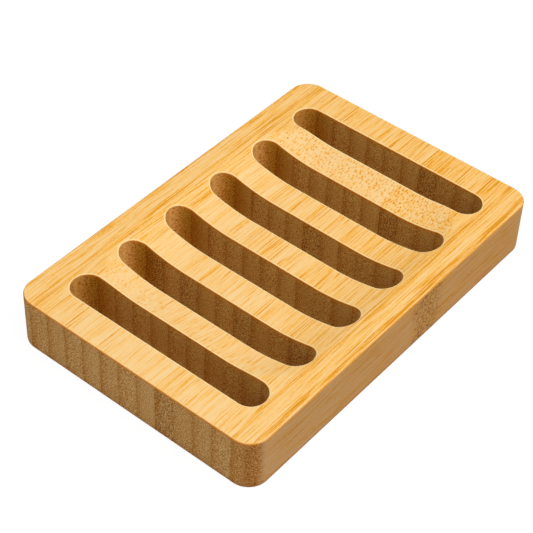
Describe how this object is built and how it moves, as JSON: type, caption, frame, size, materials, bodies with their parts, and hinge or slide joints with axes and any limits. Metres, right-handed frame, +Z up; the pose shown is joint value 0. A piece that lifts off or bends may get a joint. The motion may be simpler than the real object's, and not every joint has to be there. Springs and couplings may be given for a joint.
{
  "type": "soap dish",
  "caption": "Low rectangular bamboo soap dish with rounded corners, a shallow basin in the top for the soap, and long drain slots with round ends right through it.",
  "frame": {"origin": "middle of the flat underside", "axes": "+X across the board, along the slots; +Y along the board and its bamboo strips; +Z up"},
  "size_m": [0.08, 0.12, 0.0167],
  "materials": {
    "bamboo_light": "sanded and oiled bamboo, satin",
    "bamboo_dark": "sanded and oiled bamboo, satin"
  },
  "bodies": {
    "root": {"left_edge_strip": "bamboo_light", "strip_2": "bamboo_dark", "strip_3": "bamboo_light", "strip_4": "bamboo_dark", "strip_5": "bamboo_light", "strip_6": "bamboo_dark", "strip_7": "bamboo_light", "strip_8": "bamboo_dark", "strip_9": "bamboo_light", "strip_10": "bamboo_dark", "strip_11": "bamboo_light", "strip_12": "bamboo_dark", "right_edge_strip": "bamboo_light"}
  },
  "joints": []
}
